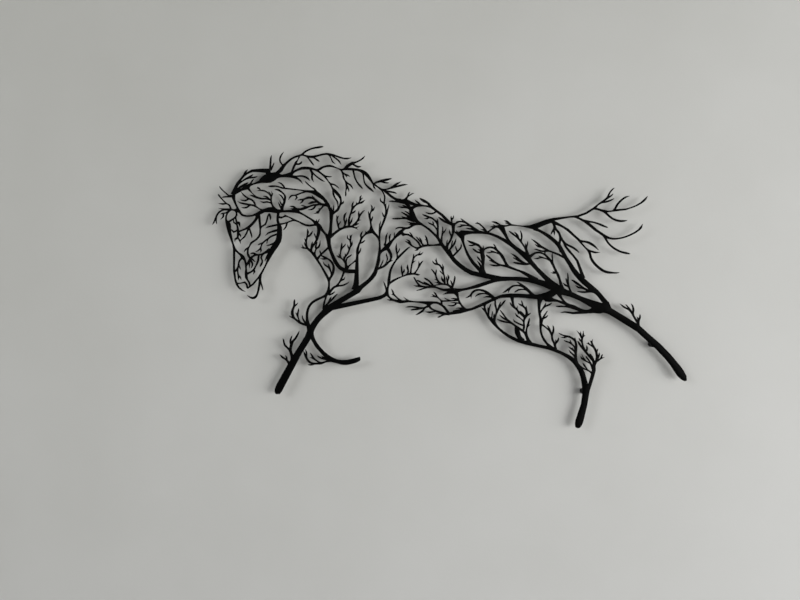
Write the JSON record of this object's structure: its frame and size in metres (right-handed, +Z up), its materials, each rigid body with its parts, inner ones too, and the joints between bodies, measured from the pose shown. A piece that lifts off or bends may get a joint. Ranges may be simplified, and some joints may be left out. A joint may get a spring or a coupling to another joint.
{
  "type": "metal horse wall art",
  "caption": "Flat steel wall art: a galloping horse cut as tapering branches and twigs, held off the wall on short round spacers.",
  "frame": {"origin": "middle of the back face of the spacer behind the poll, on the wall plane Y = 0", "axes": "+X along the length from the head to the tail, +Y through the sheet towards the wall, +Z up"},
  "size_m": [1, 0.0233, 0.5943],
  "materials": {
    "powder_coat": "matt black powder coat with a fine orange peel",
    "spacer_black": "matt black, turned"
  },
  "bodies": {
    "root": {"horse_sheet": "powder_coat", "spacer_poll": "spacer_black", "spacer_shoulder": "spacer_black", "spacer_near_hind_leg": "spacer_black", "spacer_far_hind_leg": "spacer_black"}
  },
  "joints": []
}
